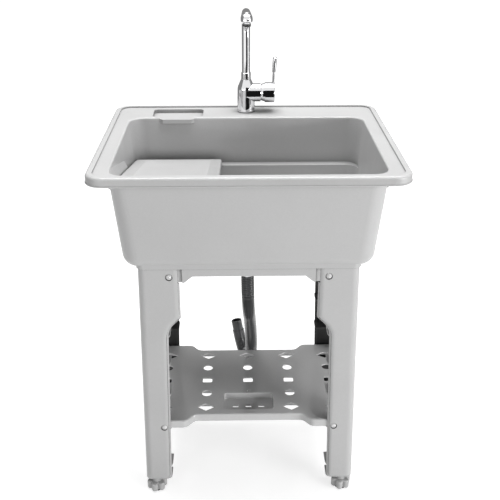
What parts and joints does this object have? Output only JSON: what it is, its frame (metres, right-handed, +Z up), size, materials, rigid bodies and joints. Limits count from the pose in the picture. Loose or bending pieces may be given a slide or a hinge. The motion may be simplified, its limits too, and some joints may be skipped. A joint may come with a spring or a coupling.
{
  "type": "utility laundry sink",
  "caption": "Free-standing moulded laundry tub on channel legs, with washboard, pierced shelf, levelling feet, drain hose and lever tap with pull-out spray.",
  "frame": {"origin": "on the floor, under the centre of the rim's outline", "axes": "+Z up; -Y is the front, where the user stands; +X is the user's right"},
  "size_m": [0.61, 0.5, 1.0198],
  "materials": {
    "tub_plastic": "satin moulded, light grey",
    "board_plastic": "satin moulded, light grey",
    "frame_plastic": "satin moulded, grey",
    "shelf_plastic": "glossy moulded, darker grey",
    "knob_plastic": "satin moulded, grey",
    "pad_rubber": "matt",
    "seal_rubber": "matt",
    "white_plastic": "matt",
    "dark_plastic": "matt",
    "hose_plastic": "satin, dark grey",
    "plain_steel": "brushed",
    "screw_steel": "pale lacquer",
    "chrome_plate": "polished",
    "plain_brass": "machined"
  },
  "bodies": {
    "sink": {"tub": "tub_plastic", "leg_front_left": "frame_plastic", "leg_front_right": "frame_plastic", "leg_rear_left": "frame_plastic", "leg_rear_right": "frame_plastic", "front_rail": "frame_plastic", "rear_rail": "frame_plastic", "shelf": "shelf_plastic", "upper_leg_screws": "screw_steel", "lower_leg_screws": "screw_steel", "foot_inserts": "plain_brass", "drain_flange": "plain_steel", "drain_gasket": "seal_rubber", "drain_washer": "white_plastic", "drain_locknut": "white_plastic", "slip_nut": "white_plastic", "tailpiece": "white_plastic", "hose_ribbed": "hose_plastic", "hose_smooth": "hose_plastic", "hose_end_cuff": "hose_plastic", "hose_clamp": "plain_steel", "faucet_body": "chrome_plate", "base_seal": "seal_rubber", "shank": "plain_brass", "mounting_washer": "plain_steel", "faucet_locknut": "plain_brass", "inlet_plug": "plain_brass", "neck_bush": "white_plastic", "neck_collar": "chrome_plate", "valve_cartridge": "white_plastic", "valve_bonnet": "chrome_plate"},
    "washboard": {"washboard": "board_plastic"},
    "strainer": {"strainer_basket": "plain_steel", "strainer_knob": "dark_plastic"},
    "neck": {"neck_tube": "chrome_plate", "neck_end_bush": "white_plastic", "pull_hose": "dark_plastic"},
    "pull_out_head": {"spray_head": "chrome_plate", "nozzle_ring": "dark_plastic", "nozzle_plate": "seal_rubber"},
    "button": {"spray_button": "white_plastic"},
    "mixer_stem": {"cartridge_stem": "plain_steel"},
    "handle": {"handle_hub": "chrome_plate", "handle_plug": "dark_plastic", "lever_stem": "chrome_plate", "lever_grip": "chrome_plate"},
    "foot_pad_body_front_left": {"foot_pad_front_left": "pad_rubber"},
    "foot_knob_body_front_left": {"foot_knob_front_left": "knob_plastic", "foot_stud_front_left": "plain_steel"},
    "foot_pad_body_front_right": {"foot_pad_front_right": "pad_rubber"},
    "foot_knob_body_front_right": {"foot_knob_front_right": "knob_plastic", "foot_stud_front_right": "plain_steel"},
    "foot_pad_body_rear_left": {"foot_pad_rear_left": "pad_rubber"},
    "foot_knob_body_rear_left": {"foot_knob_rear_left": "knob_plastic", "foot_stud_rear_left": "plain_steel"},
    "foot_pad_body_rear_right": {"foot_pad_rear_right": "pad_rubber"},
    "foot_knob_body_rear_right": {"foot_knob_rear_right": "knob_plastic", "foot_stud_rear_right": "plain_steel"}
  },
  "joints": [
    {"name": "washboard_lift", "type": "slide", "parent": "sink", "child": "washboard", "axis": [0, 0, 1], "range_m": [0, 0.15]},
    {"name": "strainer_lift", "type": "slide", "parent": "sink", "child": "strainer", "axis": [0, 0, 1], "range_m": [0, 0.06]},
    {"name": "neck_swivel", "type": "hinge", "parent": "sink", "child": "neck", "pos_m": [0, 0.205, 0.9], "axis": [0, 0, 1], "range_deg": [-120, 120]},
    {"name": "head_pull_out", "type": "slide", "parent": "neck", "child": "pull_out_head", "axis": [0, -1, 0], "range_m": [0, 0.06]},
    {"name": "spray_button_press", "type": "slide", "parent": "pull_out_head", "child": "button", "axis": [0, 0, -1], "range_m": [0, 0.0016], "stiffness_N_per_m": 900, "springref_m": -0.001},
    {"name": "temperature_turn", "type": "hinge", "parent": "sink", "child": "mixer_stem", "pos_m": [0.044, 0.205, 0.8205], "axis": [1, 0, 0], "range_deg": [-45, 45]},
    {"name": "flow_tilt", "type": "hinge", "parent": "mixer_stem", "child": "handle", "pos_m": [0.044, 0.205, 0.8205], "axis": [0, 1, 0], "range_deg": [0, 22]},
    {"name": "foot_height_front_left", "type": "slide", "parent": "sink", "child": "foot_pad_body_front_left", "axis": [0, 0, 1], "range_m": [-0.012, 0]},
    {"name": "foot_turn_front_left", "type": "hinge", "parent": "foot_pad_body_front_left", "child": "foot_knob_body_front_left", "pos_m": [-0.211, -0.183, 0.02], "axis": [0, 0, 1], "range_deg": [-2880, 0]},
    {"name": "foot_height_front_right", "type": "slide", "parent": "sink", "child": "foot_pad_body_front_right", "axis": [0, 0, 1], "range_m": [-0.012, 0]},
    {"name": "foot_turn_front_right", "type": "hinge", "parent": "foot_pad_body_front_right", "child": "foot_knob_body_front_right", "pos_m": [0.211, -0.183, 0.02], "axis": [0, 0, 1], "range_deg": [-2880, 0]},
    {"name": "foot_height_rear_left", "type": "slide", "parent": "sink", "child": "foot_pad_body_rear_left", "axis": [0, 0, 1], "range_m": [-0.012, 0]},
    {"name": "foot_turn_rear_left", "type": "hinge", "parent": "foot_pad_body_rear_left", "child": "foot_knob_body_rear_left", "pos_m": [-0.211, 0.111, 0.02], "axis": [0, 0, 1], "range_deg": [-2880, 0]},
    {"name": "foot_height_rear_right", "type": "slide", "parent": "sink", "child": "foot_pad_body_rear_right", "axis": [0, 0, 1], "range_m": [-0.012, 0]},
    {"name": "foot_turn_rear_right", "type": "hinge", "parent": "foot_pad_body_rear_right", "child": "foot_knob_body_rear_right", "pos_m": [0.211, 0.111, 0.02], "axis": [0, 0, 1], "range_deg": [-2880, 0]}
  ],
  "couplings": [
    {"joint": "foot_height_front_left", "follows": "foot_turn_front_left", "m_per_rad": 0.00023873},
    {"joint": "foot_height_front_right", "follows": "foot_turn_front_right", "m_per_rad": 0.00023873},
    {"joint": "foot_height_rear_left", "follows": "foot_turn_rear_left", "m_per_rad": 0.00023873},
    {"joint": "foot_height_rear_right", "follows": "foot_turn_rear_right", "m_per_rad": 0.00023873}
  ]
}
